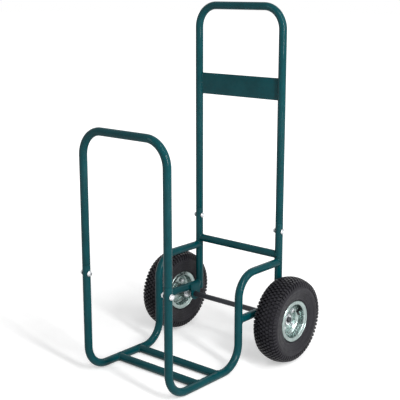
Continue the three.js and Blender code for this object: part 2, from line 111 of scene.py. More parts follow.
# Name, place, width, height and watts.
LAMPS = (
    ("key_softbox", (2.45, -0.75, 1.5), 0.30, 1.9, 70),
    ("side_softbox", (2.5, 0.9, 1.9), 0.8, 2.0, 16),
    ("fill_softbox", (-1.4, -2.5, 1.7), 0.5, 1.8, 7),
    ("rear_softbox", (-0.6, 2.8, 2.4), 2.4, 1.2, 18),
    ("top_softbox", (1.2, -0.6, 2.6), 0.3, 1.2, 14),
)
FLOOR_HALF, FLOOR_DROP = 30.0, 0.0004


# ---------------------------------------------------------------- places read from the frame


def box_of(node):
    """The lowest corner, highest corner and middle of a node."""
    low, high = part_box(node)
    return low, high, (low + high) / 2


SIDE_LOW, SIDE_HIGH, SIDE_MIDDLE = box_of("right_side_tube")
POST_LOW, POST_HIGH, _ = box_of("right_rear_post")
_, AXLE_HIGH, AXLE_MIDDLE = box_of("axle")
TYRE_LOW, TYRE_HIGH, TYRE_MIDDLE = box_of("right_tyre")
HUB_LOW, HUB_HIGH, _ = box_of("right_hub")
RIM_HIGH = box_of("right_outer_rim")[1]
STRUT_HEIGHT = box_of("right_strut")[2].z
TUBE_SIZE = (SIDE_HIGH.x - SIDE_LOW.x) / 2
FRONT_Y = box_of("front_loop")[2].y
REAR_Y = box_of("handle_loop")[2].y
SIDE_X = SIDE_MIDDLE.x
AXLE_RADIUS = AXLE_HIGH.z - AXLE_MIDDLE.z
WHEEL_RADIUS = min((TYRE_HIGH - AXLE_MIDDLE).yz)
HALF_WIDTH = (TYRE_HIGH.x - TYRE_LOW.x) / 2
RIM_HALF_WIDTH = RIM_HIGH.x - TYRE_MIDDLE.x
FLANGE_RADIUS = RIM_HIGH.z - AXLE_MIDDLE.z
HUB_RADIUS = HUB_HIGH.z - AXLE_MIDDLE.z
HUB_OUTER = HUB_HIGH.x - TYRE_MIDDLE.x
HUB_INNER = HUB_LOW.x - TYRE_MIDDLE.x


def at_side(side, x, y, z):
    return Vector((SIDES[side] * x, y, z))


def placed(place, turn=0.0, axis="X"):
    """Turns about an axis, then moves to a place."""
    return Matrix.Translation(place) @ Matrix.Rotation(turn, 4, axis)


# ---------------------------------------------------------------- sizes and finishes a user would change


def length(name, description, default):
    return bpy.props.FloatProperty(
        name=name, description=description, default=default, min=0.0, precision=4,
        subtype="DISTANCE", unit="LENGTH",
    )


def number(name, description, default, lowest):
    return bpy.props.IntProperty(name=name, description=description, default=default, min=lowest)


def angle(name, description, degrees):
    return bpy.props.FloatProperty(
        name=name, description=description, default=math.radians(degrees),
        subtype="ANGLE", unit="ROTATION",
    )


def colour(name, description, default):
    return bpy.props.FloatVectorProperty(
        name=name, description=description, default=default, size=3, min=0.0, max=1.0,
        subtype="COLOR_GAMMA",
    )


def factor(name, description, default, highest=1.0):
    return bpy.props.FloatProperty(
        name=name, description=description, default=default, min=0.0, max=highest, subtype="FACTOR",
    )


class LogCartTubes(bpy.types.PropertyGroup):
    """Sizes of the bent tubes, their welds and their bolted joints"""

    radius: length("Tube radius", "Outer radius of every tube", TUBE_SIZE)
    wall: length("Wall", "Wall of every tube", 0.0015)
    floor_bend: length("Floor bend", "Radius of the bends of the side tubes", 0.067)
    front_corner: length("Front loop corner", "Radius of the front loop's corners", 0.071)
    handle_corner: length("Handle corner", "Radius of the handle's corners", 0.065)
    riser_y: length("Riser", "Distance of the risers behind the front posts", 0.295)
    upper_bar: length("Upper bar", "Height of the upper bars", 0.280)
    spigot: length("Spigot radius", "Radius of the ends that plug into the posts", 0.0094)
    shoulder: length("Shoulder", "Length over which a loop narrows to its spigot", 0.0014)
    seam: length("Seam", "Gap between a post's mouth and the loop above it", 0.0003)
    weld: length("Weld bead", "Half width of a weld bead", 0.0023)


class LogCartWheels(bpy.types.PropertyGroup):
    """Sizes of the wheels"""

    lugs: number("Knobs", "Knobs round each row of the tread", 64, 8)
    knob_height: length("Knob height", "Height of the knobs of the tread", 0.0054)
    rim_thickness: length("Rim thickness", "Thickness of the pressed rim halves", 0.002)
    rim_bolt_circle: length("Bolt circle", "Radius of the circle of rim bolts", 0.031)
    rim_bolts: number("Rim bolts", "Bolts that hold the halves", 4, 3)
    balls: number("Balls", "Balls in each bearing", 9, 3)


class LogCartFinishes(bpy.types.PropertyGroup):
    """Colours of the finishes"""

    green: colour("Powder coat", "Dark teal-green powder coat of the frame", (0.010, 0.243, 0.265))
    zinc: colour("Fasteners", "Bright zinc plate of bolts, nuts and washers", (0.83, 0.84, 0.85))
    rim: colour("Rims", "Zinc plate of the pressed rims", (0.63, 0.69, 0.68))
    steel: colour("Bearings", "Ground steel of the bearings", (0.80, 0.81, 0.82))
    axle: colour("Axle", "Dark rod of the axle", (0.13, 0.14, 0.16))
    rubber: colour("Tyre", "Moulded rubber of the tyres", (0.112, 0.109, 0.127))
    plastic: colour("Plastic", "Moulded caps and plugs", (0.10, 0.10, 0.11))
    floor: colour("Floor", "Pale studio floor", (0.97, 0.97, 0.97))


class LogCartStage(bpy.types.PropertyGroup):
    """Camera and lights"""

    yaw: angle("Yaw", "Turn of the camera from the +Y direction", 40.69)
    pitch: angle("Pitch", "Tilt of the camera below the horizon", 12.99)
    camera_place: bpy.props.FloatVectorProperty(
        name="Camera", description="Place of the camera", default=(1.7026, -1.9525, 1.0793),
        subtype="TRANSLATION", unit="LENGTH",
    )
    focal_length: bpy.props.FloatProperty(
        name="Focal length", description="On a sensor 36 mm wide, in millimetres", default=83.36, min=1.0,
    )
    lamp_level: factor("Lamps", "Level of the soft lamps", 1.0, 4.0)
    sky_level: factor("Sky", "Level of the even light from all round", 0.30, 4.0)


# ---------------------------------------------------------------- outlines


def even_turns(count):
    """Angles that share a full turn evenly."""
    return [2 * math.pi * k / count for k in range(count)]


def circle(radius, segments):
    return [(radius * math.cos(turn), radius * math.sin(turn)) for turn in even_turns(segments)]


def rounded(corners, closed=False, steps=5):
    """A line of (a, b) points through corners of (a, b, radius), each corner an arc."""
    count = len(corners)
    line = []
    for i, (a, b, radius) in enumerate(corners):
        corner = Vector((a, b))
        if radius <= 0 or (not closed and i in (0, count - 1)):
            line.append(corner)
            continue
        before = (Vector(corners[i - 1][:2]) - corner).normalized()
        after = (Vector(corners[(i + 1) % count][:2]) - corner).normalized()
        half = before.angle(after) / 2
        reach = radius / math.tan(half)
        centre = corner + (before + after).normalized() * (radius / math.sin(half))
        start, end = corner + before * reach - centre, corner + after * reach - centre
        turn = start.angle_signed(end)
        for k in range(steps + 1):
            t = -turn * k / steps
            line.append(centre + Vector((
                start.x * math.cos(t) - start.y * math.sin(t),
                start.x * math.sin(t) + start.y * math.cos(t),
            )))
    return line


def sheet_outline(line, thickness):
    """The closed outline of a sheet of that thickness whose middle follows the line."""
    normals = []
    for a, b in zip(line, line[1:]):
        along = (b - a).normalized()
        normals.append(Vector((-along.y, along.x)))

    def face(offset):
        made = []
        for i, point in enumerate(line):
            before, after = normals[max(i - 1, 0)], normals[min(i, len(normals) - 1)]
            made.append(point + (before + after) * (offset / (1 + before.dot(after))))
        return made

    return face(thickness / 2) + face(-thickness / 2)[::-1]


def ring_outline(bore, outer, start, end, chamfer):
    """The closed outline of a ring's section, as (along, radius) with chamfered corners."""
    corners = ((start, bore), (start, outer), (end, outer), (end, bore))
    return rounded([(x, radius, chamfer) for x, radius in corners], closed=True, steps=2)


# ---------------------------------------------------------------- meshes


class Shape:
    """Vertices and faces of one piece, gathered from several closed shells."""

    def __init__(self):
        self.points = []
        self.faces = []

    def add(self, points, faces):
        base = len(self.points)
        self.points.extend(Vector(p) for p in points)
        self.faces.extend([base + i for i in face] for face in faces)
        return self

    def merge(self, other):
        return self.add(other.points, other.faces)

    def moved(self, matrix):
        return Shape().add([matrix @ p for p in self.points], self.faces)


def grid_faces(rows, columns, close_rows, close_columns):
    faces = []
    for i in range(rows if close_rows else rows - 1):
        for j in range(columns if close_columns else columns - 1):
            below, right = (i + 1) % rows, (j + 1) % columns
            faces.append([i * columns + j, i * columns + right, below * columns + right, below * columns + j])
    return faces


def round_x(x, radius, turn):
    """A point at a radius from the X axis."""
    return Vector((x, radius * math.sin(turn), radius * math.cos(turn)))


def lathe(outline, segments):
    """Turns an outline of (along, radius) round the X axis. An outline that starts and ends on the axis
    closes there, and any other closes on itself."""
    outline = [Vector(point) for point in outline]
    poles = outline[0].y < ON_AXIS and outline[-1].y < ON_AXIS
    rim = outline[1:-1] if poles else outline
    points = [round_x(x, radius, turn) for turn in even_turns(segments) for x, radius in rim]
    faces = grid_faces(segments, len(rim), True, not poles)
    if poles:
        first, n = len(points), len(rim)
        points += [(outline[0].x, 0, 0), (outline[-1].x, 0, 0)]
        for k in range(segments):
            here, after = k * n, (k + 1) % segments * n
            faces += [[first, here, after], [first + 1, after + n - 1, here + n - 1]]
    return Shape().add(points, faces)


def plain_rod(radius, start, end, segments):
    return lathe([(start, 0.0), (start, radius), (end, radius), (end, 0.0)], segments)


def threaded(radius, start, end, pitch=0.00125, depth=0.0006):
    """A threaded rod along X from start to end, with both ends chamfered."""
    outline = [(start, 0.0), (start, radius - 2 * depth), (start + depth, radius)]
    x = start + depth + pitch / 2
    while x + pitch < end:
        outline += [(x, radius), (x + pitch / 2, radius - depth)]
        x += pitch
    outline += [(end - depth, radius), (end, radius - 2 * depth), (end, 0.0)]
    return lathe(outline, 24)


def bent_path(corners, radius, steps=14):
    """Stations of (place, direction) along straight runs with an arc of that radius at each corner."""
    corners = [Vector(c) for c in corners]
    stations = [(corners[0], (corners[1] - corners[0]).normalized())]
    for before, corner, after in zip(corners, corners[1:], corners[2:]):
        ahead, away = (corner - before).normalized(), (after - corner).normalized()
        turn, axis = ahead.angle(away), ahead.cross(away).normalized()
        entry = corner - ahead * (radius * math.tan(turn / 2))
        centre = entry + axis.cross(ahead) * radius
        for k in range(steps + 1):
            spin = Matrix.Rotation(turn * k / steps, 3, axis)
            stations.append((centre + spin @ (entry - centre), spin @ ahead))
    stations.append((corners[-1], (corners[-1] - corners[-2]).normalized()))
    return stations


def rings_along(stations, flat, radii, segments):
    """A round ring at each station, of its radius. flat is the direction square to the plane of the path."""
    rings = []
    for (place, direction), radius in zip(stations, radii):
        across = direction.cross(flat).normalized()
        rings.append([place + across * a + flat * b for a, b in circle(radius, segments)])
    return rings


def shell(rings, closed):
    """Faces over rings of as many points each. closed joins the last ring to the first."""
    points = [p for ring in rings for p in ring]
    return Shape().add(points, grid_faces(len(rings), len(rings[0]), closed, True))


def skin(rings):
    """A closed shell through rings, with a fan over each end."""
    shape, n = shell(rings, False), len(rings[0])
    for ring, start, turn in ((rings[0], 0, 1), (rings[-1], (len(rings) - 1) * n, -1)):
        shape.points.append(sum(ring, Vector()) / n)
        top = len(shape.points) - 1
        for j in range(n):
            edge = [start + j, start + (j + 1) % n]
            shape.faces.append([top, *edge[::turn]])
    return shape


def hollow(outer, inner):
    """A closed shell between an outer and an inner run of rings, open at both ends."""
    return shell(outer + inner[::-1], True)


def hex_prism(flats, height, bore=0.0, dome=0.0):
    """A hexagon along +X with the round chamfer of a bolt head or nut at its far end."""
    sixth, face, slope = math.pi / 3, flats * HEAD_FACE, math.tan(HEAD_CHAMFER)
    edge = [(turn, flats / math.cos((turn + sixth / 2) % sixth - sixth / 2)) for turn in even_turns(HEX_STEPS)]

    def ring(radius, x):
        return [round_x(x, radius, turn) for turn, _ in edge]

    rings = [
        [round_x(0.0, radius, turn) for turn, radius in edge],
        [round_x(height - (radius - face) * slope, radius, turn) for turn, radius in edge],
        ring(face, height),
    ]
    if bore:
        mouth = 0.0005
        return shell([*rings, ring(bore + mouth, height), ring(bore, height - mouth), ring(bore, 0.0)], True)
    return skin([*rings, ring(face * 0.72, height + dome)])


# ---------------------------------------------------------------- welds


def bead(points, radius, closed, outward):
    """A weld bead with the ripples of its pools along a run of points. outward gives its upper side."""
    count = len(points)
    rings, run = [], 0.0
    for i, point in enumerate(points):
        before = points[i - 1] if closed or i else point
        after = points[(i + 1) % count] if closed or i < count - 1 else point
        along = (after - before).normalized()
        up = outward(point)
        up = (up - along * up.dot(along)).normalized()
        across = along.cross(up)
        run += (point - points[i - 1]).length if i else 0.0
        swell = 1 + 0.10 * math.sin(2 * math.pi * run / WELD_RIPPLE)
        if not closed:
            swell *= 0.45 + 0.55 * min(1.0, 4 * min(i, count - 1 - i) / count)
        half, high = radius * swell, radius * swell * 0.8
        rings.append([point + across * (a * half) + up * (b * high) for a, b in circle(1, WELD_SIDES)])
    return shell(rings, True) if closed else skin(rings)


def straight_weld(start, end, radius, up):
    """A weld bead from start to end, with its upper side toward up."""
    count = max(4, int((end - start).length / WELD_STEP))
    return bead([start.lerp(end, k / count) for k in range(count + 1)], radius, False, lambda point: up)


def cope(ring, direction, line_point, line_direction, radius):
    """Moves a tube's end ring along the tube until it lies on the round of another tube."""
    made = []
    for point in ring:
        away = point - line_point
        away -= line_direction * away.dot(line_direction)
        b = away.dot(direction)
        reach = b * b - away.dot(away) + radius * radius
        made.append(point + direction * (-b - math.sqrt(max(reach, 0.0))))
    return made


def dense_loop(ring, count):
    """The same closed loop with more points, evenly shared."""
    total, made = len(ring), []
    for k in range(count):
        place = k * total / count
        i = int(place)
        made.append(ring[i % total].lerp(ring[(i + 1) % total], place - i))
    return made


def cope_and_weld(outside, inside, index, way, line, tubes):
    """Cuts the end of a tube that looks along way to the round of the tube along line, and gives the weld
    bead round it. outside and inside are the tube's rings, and index is that of the end."""
    for rings in (outside, inside):
        rings[index] = cope(rings[index], way, *line, tubes.radius)
    loop = dense_loop(outside[index], WELD_POINTS)
    middle = sum(loop, Vector()) / len(loop)
    return bead(loop, tubes.weld, True, lambda point: (point - middle).normalized() - way)


# ---------------------------------------------------------------- finishes


def linear(value):
    return tuple(c / 12.92 if c <= 0.04045 else ((c + 0.055) / 1.055) ** 2.4 for c in value)


def shaded(tint, share):
    return tuple(min(1.0, c * share) for c in tint)


def shown_white(tree):
    """A socket that is 1 for the rays of the camera, mirrors and glass, which see the studio as white."""
    paths = tree.nodes.new("ShaderNodeLightPath")
    shown = paths.outputs["Is Camera Ray"]
    for ray in ("Is Glossy Ray", "Is Transmission Ray"):
        higher = tree.nodes.new("ShaderNodeMath")
        higher.operation = "MAXIMUM"
        tree.links.new(shown, higher.inputs[0])
        tree.links.new(paths.outputs[ray], higher.inputs[1])
        shown = higher.outputs[0]
    return shown


class Finish:
    """A material under construction: short calls that add one node each."""

    def __init__(self, name):
        self.material = bpy.data.materials.new(name)
        self.material.use_nodes = True
        self.tree = self.material.node_tree
        self.shader = self.tree.nodes["Principled BSDF"]
        self.places = self.node("ShaderNodeTexCoord").outputs["Object"]

    def node(self, kind, **settings):
        made = self.tree.nodes.new(kind)
        for key, value in settings.items():
            setattr(made, key, value)
        return made

    def link(self, source, target):
        self.tree.links.new(source, target)

    def fill(self, node, **values):
        """Sets the sockets of a node by their names, with _ for each space."""
        for key, value in values.items():
            node.inputs[key.replace("_", " ")].default_value = value

    def noise(self, scale, detail=3.0, roughness=0.5, stretch=None):
        made = self.node("ShaderNodeTexNoise")
        self.fill(made, Scale=scale, Detail=detail, Roughness=roughness)
        place = self.places
        if stretch:
            mapping = self.node("ShaderNodeMapping")
            self.fill(mapping, Scale=stretch)
            self.link(place, mapping.inputs["Vector"])
            place = mapping.outputs["Vector"]
        self.link(place, made.inputs["Vector"])
        return made.outputs["Fac"]

    def spread(self, source, low, high, from_low=0.35, from_high=0.65):
        made = self.node("ShaderNodeMapRange")
        self.fill(made, From_Min=from_low, From_Max=from_high, To_Min=low, To_Max=high)
        self.link(source, made.inputs["Value"])
        return made.outputs["Result"]

    def maths(self, operation, source, other):
        made = self.node("ShaderNodeMath", operation=operation)
        self.link(source, made.inputs[0])
        if isinstance(other, float):
            made.inputs[1].default_value = other
        else:
            self.link(other, made.inputs[1])
        return made.outputs[0]

    def vector_maths(self, operation, source, other=None):
        made = self.node("ShaderNodeVectorMath", operation=operation)
        self.link(source, made.inputs[0])
        if other is not None:
            made.inputs[1].default_value = other
        return made.outputs["Value" if operation == "LENGTH" else "Vector"]

    def mix(self, amount, first, second):
        made = self.node("ShaderNodeMix", data_type="RGBA")
        self.link(amount, made.inputs["Factor"])
        for socket, value in ((made.inputs["A"], first), (made.inputs["B"], second)):
            if isinstance(value, tuple):
                socket.default_value = (*value, 1.0)
            else:
                self.link(value, socket)
        return made.outputs["Result"]

    def bump(self, height, strength, distance, below=None):
        made = self.node("ShaderNodeBump")
        self.fill(made, Strength=strength, Distance=distance)
        self.link(height, made.inputs["Height"])
        if below is not None:
            self.link(below, made.inputs["Normal"])
        return made.outputs["Normal"]

    def finish(self, base, roughness, normal=None):
        for socket, source in (("Base Color", base), ("Roughness", roughness), ("Normal", normal)):
            if source is not None:
                self.link(source, self.shader.inputs[socket])
        return self.material


def powder_coat(look):
    """Glossy powder coat: orange peel, cloudy depth and a little dust near the floor."""
    made = Finish("green_powder_coat")
    tint = linear(look.green)
    cloud = made.spread(made.noise(22.0, 4.0), 0.0, 1.0)
    paint = made.mix(cloud, shaded(tint, 0.90), shaded(tint, 1.10))
    height = made.node("ShaderNodeSeparateXYZ")
    made.link(made.places, height.inputs["Vector"])
    low = made.spread(height.outputs["Z"], 0.35, 0.0, 0.002, 0.014)
    dust = made.maths("MULTIPLY", low, made.spread(made.noise(170.0, 5.0), 0.0, 1.0))
    base = made.mix(dust, paint, FLOOR_DUST)
    wide = made.bump(made.noise(260.0, 2.0), 0.14, 0.0004)
    normal = made.bump(made.noise(1050.0, 2.0), 0.16, 0.00012, wide)
    clean = made.spread(made.noise(60.0, 3.0), 0.24, 0.33)
    roughness = made.maths("ADD", clean, made.maths("MULTIPLY", dust, 0.5))
    made.fill(made.shader, Coat_Weight=0.20, Coat_Roughness=0.06, IOR=1.5, Specular_IOR_Level=0.02)
    return made.finish(base, roughness, normal)


def plated(name, tint, roughest, smoothest, tarnish):
    """Zinc plate: bright, slightly cloudy, with a faint tarnish."""
    made = Finish(name)
    base = made.mix(made.spread(made.noise(85.0, 5.0), 0.0, 1.0), tint, shaded(tint, tarnish))
    normal = made.bump(made.noise(2400.0, 2.0), 0.10, 0.00008)
    roughness = made.spread(made.noise(150.0, 4.0), smoothest, roughest)
    made.fill(made.shader, Metallic=1.0)
    return made.finish(base, roughness, normal)


def rim_plate(look):
    """Zinc plate on pressed steel: rings left by the press and a cloudy, slightly green cast."""
    made = Finish("rim_zinc_plate")
    tint = linear(look.rim)
    from_axle = made.vector_maths("SUBTRACT", made.places, AXLE_MIDDLE)
    across = made.vector_maths("MULTIPLY", from_axle, (0.0, 1.0, 1.0))
    rings = made.node("ShaderNodeTexNoise", noise_dimensions="1D")
    made.fill(rings, Scale=2600.0, Detail=2.0)
    made.link(made.vector_maths("LENGTH", across), rings.inputs["W"])
    base = made.mix(made.spread(made.noise(55.0, 5.0), 0.0, 1.0), tint, shaded(tint, 0.80))
    grime = made.spread(made.noise(130.0, 6.0, 0.6), 0.0, 0.5, 0.56, 0.72)
    base = made.mix(grime, base, RIM_GRIME)
    grain = made.bump(made.noise(900.0, 2.0), 0.08, 0.0001)
    normal = made.bump(rings.outputs["Fac"], 0.22, 0.00012, grain)
    roughness = made.spread(made.noise(70.0, 4.0), 0.17, 0.33)
    made.fill(made.shader, Metallic=1.0)
    return made.finish(base, roughness, normal)


def dark_rod(look):
    """Drawn rod, dark grey all over, with faint streaks along it."""
    made = Finish("dark_grey_axle_rod")
    tint = linear(look.axle)
    drawn = made.noise(30.0, 3.0, stretch=(1.0, 40.0, 40.0))
    base = made.mix(made.spread(drawn, 0.0, 1.0), tint, shaded(tint, 1.5))
    roughness = made.spread(made.noise(140.0, 3.0), 0.36, 0.52)
    made.fill(made.shader, Metallic=0.3)
    return made.finish(base, roughness, made.bump(drawn, 0.15, 0.0001))


def moulded_rubber(name, tint, shine, dusty):
    """Moulded rubber: fine pores, a cloudy bloom and dust that stays in patches."""
    made = Finish(name)
    bloom = made.spread(made.noise(38.0, 5.0), 0.0, 1.0)
    base = made.mix(bloom, shaded(tint, 0.85), shaded(tint, 1.25))
    dust = made.spread(made.noise(240.0, 6.0, 0.6), 0.0, dusty, 0.52, 0.75)
    base = made.mix(dust, base, TYRE_DUST)
    waves = made.bump(made.noise(320.0, 3.0), 0.15, 0.0003)
    normal = made.bump(made.noise(1700.0, 3.0), 0.30, 0.00015, waves)
    roughness = made.spread(made.noise(90.0, 4.0), shine, shine + 0.16)
    made.fill(made.shader, IOR=1.48, Specular_IOR_Level=0.18)
    return made.finish(base, roughness, normal)


def moulded_plastic(look):
    """Moulded plastic with the fine grain of its mould."""
    made = Finish("black_moulded_plastic")
    tint = linear(look.plastic)
    base = made.mix(made.spread(made.noise(120.0, 3.0), 0.0, 1.0), shaded(tint, 0.9), shaded(tint, 1.2))
    normal = made.bump(made.noise(1500.0, 2.0), 0.22, 0.00012)
    return made.finish(base, made.spread(made.noise(200.0, 3.0), 0.42, 0.56), normal)


def pale_floor(look):
    """Pale floor that shows white to the camera and to metal, and keeps the object's shadow."""
    made = Finish("pale_studio_floor")
    tint = linear(look.floor)
    lift = made.spread(made.vector_maths("LENGTH", made.places), 0.40, 1.0, 0.5, 1.9)
    glow = made.maths("MULTIPLY", shown_white(made.tree), lift)
    made.link(glow, made.shader.inputs["Emission Strength"])
    made.fill(made.shader, Emission_Color=(1.0, 1.0, 1.0, 1.0), Specular_IOR_Level=0.0)
    base = made.mix(made.spread(made.noise(9.0, 4.0), 0.0, 1.0), shaded(tint, 0.80), shaded(tint, 0.84))
    return made.finish(base, made.spread(made.noise(14.0, 4.0), 0.85, 0.95))


FINISHES = {}


def finishes():
    """Every finish by the name of its material slot."""
    if not FINISHES:
        look = bpy.context.scene.log_cart_finishes
        rubber = linear(look.rubber)
        FINISHES.update({
            "green_paint": powder_coat(look),
            "zinc_fasteners": plated("bright_zinc_plate", linear(look.zinc), 0.36, 0.22, 0.86),
            "rim_zinc": rim_plate(look),
            "bearing_steel": plated("ground_bearing_steel", linear(look.steel), 0.24, 0.13, 0.90),
            "dark_axle": dark_rod(look),
            "tyre_rubber": moulded_rubber("moulded_tyre_rubber", rubber, 0.33, 0.16),
            "tube_rubber": moulded_rubber("butyl_tube_rubber", shaded(rubber, 0.7), 0.62, 0.1),
            "black_plastic": moulded_plastic(look),
        })
    return FINISHES


# ---------------------------------------------------------------- pieces


def body_of_node(node):
    for body, members in frame["record"]["behaviour"]["bodies"].items():
        if node in members:
            return body
    raise ValueError(f"no body holds {node}")


def put(name, data):
    """A new object in the scene."""
    made = bpy.data.objects.new(name, data)
    bpy.context.scene.collection.objects.link(made)
    return made


def mesh_of(name, shape):
    """A mesh of the shape, with every face turned outward."""
    mesh = bpy.data.meshes.new(name)
    mesh.from_pydata([tuple(p) for p in shape.points], [], shape.faces)
    work = bmesh.new()
    work.from_mesh(mesh)
    bmesh.ops.remove_doubles(work, verts=work.verts, dist=SAME_PLACE)
    bmesh.ops.dissolve_degenerate(work, edges=work.edges, dist=SAME_PLACE)
    bmesh.ops.recalc_face_normals(work, faces=work.faces)
    work.to_mesh(mesh)
    work.free()
    return mesh


def add_piece(name, shape, slot, nodes, sharp=SHARP_ANGLE):
    """Makes one object from a shape, stands it for its nodes and rides it on their body."""
    mesh = mesh_of(name, shape)
    mesh.shade_smooth()
    mesh.set_sharp_from_angle(angle=math.radians(sharp))
    mesh.materials.append(finishes()[slot])
    piece = put(name, mesh)
    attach(piece, body_of_node(nodes[0]))
    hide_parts(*nodes)
    return piece


def add_side_piece(side, what, shape, slot, sharp=SHARP_ANGLE):
    """A piece of one side, which stands for that side's node of the same name."""
    return add_piece(f"{what}_{side}", shape, slot, [f"{side}_{what}"], sharp)


def cut_away(piece, shape):
    """Cuts a closed shape out of a piece."""
    cutter = put("cutter", mesh_of("cutter", shape))
    step = piece.modifiers.new("cut", "BOOLEAN")
    step.operation, step.solver, step.object = "DIFFERENCE", "EXACT", cutter
    graph = bpy.context.evaluated_depsgraph_get()
    made = bpy.data.meshes.new_from_object(piece.evaluated_get(graph))
    piece.modifiers.remove(step)
    piece.data = made
    made.set_sharp_from_angle(angle=math.radians(SHARP_ANGLE))
    bpy.data.objects.remove(cutter)


# ---------------------------------------------------------------- tubes and plates


def tube_rings(stations, flat, radii, wall):
    """Outer and inner rings along a path, from the outer radius at each station."""
    outside = rings_along(stations, flat, radii, TUBE_SEGMENTS)
    inside = rings_along(stations, flat, [radius - wall for radius in radii], TUBE_SEGMENTS)
    return outside, inside


def coped_tube(start, end, lines, tubes):
    """A straight tube whose ends are cut to the round of the tubes that they meet, with a weld bead at each.
    lines holds the (point, direction) of the tube at each end."""
    direction = (end - start).normalized()
    stations = [(start, direction), (end, direction)]
    outside, inside = tube_rings(stations, Z_AXIS, [tubes.radius] * 2, tubes.wall)
    welds = [
        cope_and_weld(outside, inside, index, way, line, tubes)
        for index, (way, line) in enumerate(zip((-direction, direction), lines))
    ]
    shape = hollow(outside, inside)
    for weld in welds:
        shape.merge(weld)
    for point in shape.points:
        point.z = max(point.z, CAD_BOX[0].z + GROUND_GAP)
    return shape


def build_side_tube(side, tubes):
    """Front post, foot bend, floor rail, riser and upper bar, bent from one tube."""
    riser, bar, floor = FRONT_Y + tubes.riser_y, tubes.upper_bar, SIDE_LOW.z + TUBE_SIZE
    line = (FRONT_Y, SIDE_HIGH.z), (FRONT_Y, floor), (riser, floor), (riser, bar), (REAR_Y - tubes.radius, bar)
    corners = [at_side(side, SIDE_X, y, z) for y, z in line]
    stations = bent_path(corners, tubes.floor_bend)
    stations.insert(1, (corners[0] - Z_AXIS * MOUTH_ROUNDING, stations[0][1]))
    radii = [tubes.radius - MOUTH_ROUNDING] + [tubes.radius] * (len(stations) - 1)
    outside, inside = tube_rings(stations, X_AXIS, radii, tubes.wall)
    post = (at_side(side, SIDE_X, REAR_Y, 0), Z_AXIS)
    weld = cope_and_weld(outside, inside, -1, Y_AXIS, post, tubes)
    add_side_piece(side, "side_tube", hollow(outside, inside).merge(weld), "green_paint")


def build_rear_post(side, tubes):
    """Upright stub with the handle's socket at its top."""
    foot, mouth = at_side(side, SIDE_X, REAR_Y, POST_LOW.z), at_side(side, SIDE_X, REAR_Y, POST_HIGH.z)
    inward = Z_AXIS * MOUTH_ROUNDING
    stations = [(place, Z_AXIS) for place in (foot, foot + inward, mouth - inward, mouth)]
    edge = tubes.radius - MOUTH_ROUNDING
    rings = tube_rings(stations, X_AXIS, [edge, tubes.radius, tubes.radius, edge], tubes.wall)
    add_side_piece(side, "rear_post", hollow(*rings), "green_paint")


def build_strut(side, tubes):
    """Level tube from the riser back to the rear post, over the axle."""
    riser = FRONT_Y + tubes.riser_y
    start = at_side(side, SIDE_X, riser + tubes.radius, STRUT_HEIGHT)
    end = at_side(side, SIDE_X, REAR_Y - tubes.radius, STRUT_HEIGHT)
    lines = [(at_side(side, SIDE_X, y, 0), Z_AXIS) for y in (riser, REAR_Y)]
    add_side_piece(side, "strut", coped_tube(start, end, lines, tubes), "green_paint")


def build_cross_tube(node, line_direction, tubes):
    """Tube across the cart between the two sides."""
    middle, reach = box_of(node)[2], SIDE_X - tubes.radius
    start, end = (Vector((x, middle.y, middle.z)) for x in (-reach, reach))
    lines = [(Vector((x, middle.y, middle.z)), line_direction) for x in (-SIDE_X, SIDE_X)]
    add_piece(f"{node}_piece", coped_tube(start, end, lines, tubes), "green_paint", [node])


def build_loop(node, mouth, corner, tubes):
    """Inverted U whose ends narrow to spigots just over the mouths of the posts."""
    low, high, middle = box_of(node)
    y, rise, seam = middle.y, high.z - tubes.radius, mouth + tubes.seam
    corners = [(-SIDE_X, y, low.z), (-SIDE_X, y, rise), (SIDE_X, y, rise), (SIDE_X, y, low.z)]
    bent = bent_path(corners, corner, 18)
    levels = [
        (seam, tubes.spigot), (seam, tubes.spigot + 0.0012),
        (seam + 0.0003, tubes.radius - 0.0005), (seam + tubes.shoulder, tubes.radius),
    ]
    up = [(Vector((-SIDE_X, y, z)), Z_AXIS) for z, _ in levels]
    down = [(Vector((SIDE_X, y, z)), -Z_AXIS) for z, _ in reversed(levels)]
    stations = [bent[0], *up, *bent[1:-1], *down, bent[-1]]
    leg = [tubes.spigot, *(radius for _, radius in levels)]
    radii = [*leg, *[tubes.radius] * (len(bent) - 2), *reversed(leg)]
    add_piece(f"{node}_piece", hollow(*tube_rings(stations, Y_AXIS, radii, tubes.wall)), "green_paint", [node])


def build_handle_plate(tubes):
    """Flat cross plate with rounded long edges between the handle's legs, with its welds."""
    low, high, middle = box_of("handle_plate")
    thick, edge, inset = (high.y - low.y) / 2, 0.0011, 0.003
    corners = ((-thick, low.z), (thick, low.z), (thick, high.z), (-thick, high.z))
    section = rounded([(y, z, edge) for y, z in corners], closed=True, steps=4)
    shape = skin([[Vector((x, middle.y + a, z)) for a, z in section] for x in (low.x, high.x)])
    for side in SIDES.values():
        x = side * (SIDE_X - tubes.radius)
        for face in (-1, 1):
            y = middle.y + face * (thick + 0.0004)
            start, end = Vector((x, y, low.z + inset)), Vector((x, y, high.z - inset))
            shape.merge(straight_weld(start, end, tubes.weld * 0.8, Vector((-side, face, 0))))
    add_piece("handle_plate_piece", shape, "green_paint", ["handle_plate"])


def even_by_angle(outline, count):
    """Points of a closed outline round the origin, one at each of count equal angles."""
    made = []
    edges = list(zip(outline, outline[1:] + outline[:1]))
    for turn in even_turns(count):
        ray = Vector((math.cos(turn), math.sin(turn)))
        best = None
        for a, b in edges:
            a, b = Vector(a), Vector(b)
            side = b - a
            cross = ray.x * side.y - ray.y * side.x
            if abs(cross) < 1e-12:
                continue
            reach = (a.x * side.y - a.y * side.x) / cross
            along = (a.x * ray.y - a.y * ray.x) / cross
            if reach > 0 and -1e-9 <= along <= 1 + 1e-9 and (best is None or reach > best):
                best = reach
        made.append(ray * best)
    return made


